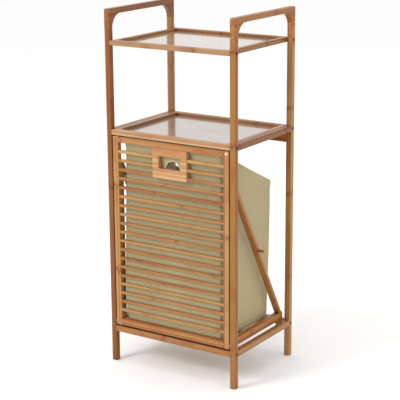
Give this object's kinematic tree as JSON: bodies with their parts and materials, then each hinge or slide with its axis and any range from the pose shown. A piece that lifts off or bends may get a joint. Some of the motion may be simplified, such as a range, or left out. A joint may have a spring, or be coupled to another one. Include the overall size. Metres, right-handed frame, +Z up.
{
  "type": "laundry hamper shelf",
  "caption": "Bamboo shelf tower on four plain legs with a slatted front that tilts out and carries an open-topped fabric laundry bag.",
  "frame": {"origin": "centre of the footprint, on the floor", "axes": "+X to the viewer's right, -Y out of the slatted front, +Z up"},
  "size_m": [0.4, 0.3, 0.97],
  "materials": {
    "bamboo": "satin lacquered bamboo",
    "shelf_panel": "glossy lacquered thin board",
    "dowel_wood": "bare beech",
    "felt": "pressed felt",
    "bolt_steel": "bronzed steel",
    "nylon": "moulded nylon",
    "cream_plastic": "satin",
    "bag_fabric": "plain-weave polyester and cotton",
    "base_board": "bare hardboard"
  },
  "bodies": {
    "frame": {"post_front_left": "bamboo", "post_front_right": "bamboo", "post_rear_left": "bamboo", "post_rear_right": "bamboo", "handle_left": "bamboo", "handle_right": "bamboo", "side_rail_mid_left": "bamboo", "side_rail_mid_right": "bamboo", "side_rail_bottom_left": "bamboo", "side_rail_bottom_right": "bamboo", "upper_shelf_front_rail": "bamboo", "upper_shelf_rear_rail": "bamboo", "upper_shelf_end_rail_left": "bamboo", "upper_shelf_end_rail_right": "bamboo", "middle_shelf_front_rail": "bamboo", "middle_shelf_rear_rail": "bamboo", "middle_shelf_end_rail_left": "bamboo", "middle_shelf_end_rail_right": "bamboo", "rear_apron": "bamboo", "bottom_rail_front": "bamboo", "bottom_rail_rear": "bamboo", "rest_blocks": "bamboo", "upper_shelf_panel": "shelf_panel", "middle_shelf_panel": "shelf_panel", "frame_dowels": "dowel_wood", "foot_pads": "felt", "frame_bolts": "bolt_steel", "barrel_nuts": "bolt_steel", "pivot_pins": "bolt_steel", "pivot_washers": "nylon"},
    "hamper": {"door_stile_left": "bamboo", "door_stile_right": "bamboo", "door_top_rail": "bamboo", "door_bottom_rail": "bamboo", "door_slats": "bamboo", "handle_block": "bamboo", "hamper_rail_left": "bamboo", "hamper_rail_right": "bamboo", "hamper_upright_left": "bamboo", "hamper_upright_right": "bamboo", "brace_left": "bamboo", "brace_right": "bamboo", "base_batten_front": "bamboo", "base_batten_rear": "bamboo", "stop_pegs": "bamboo", "hamper_dowels": "dowel_wood", "pivot_bushes": "nylon", "door_plug": "cream_plastic", "door_bumper": "cream_plastic", "bag_ring": "cream_plastic", "laundry_bag": "bag_fabric", "bag_base_board": "base_board", "bag_screws": "bolt_steel"}
  },
  "joints": [
    {"name": "hamper_tilt", "type": "hinge", "parent": "frame", "child": "hamper", "pos_m": [0, -0.142, 0.118], "axis": [1, 0, 0], "range_deg": [0, 29.4]}
  ]
}
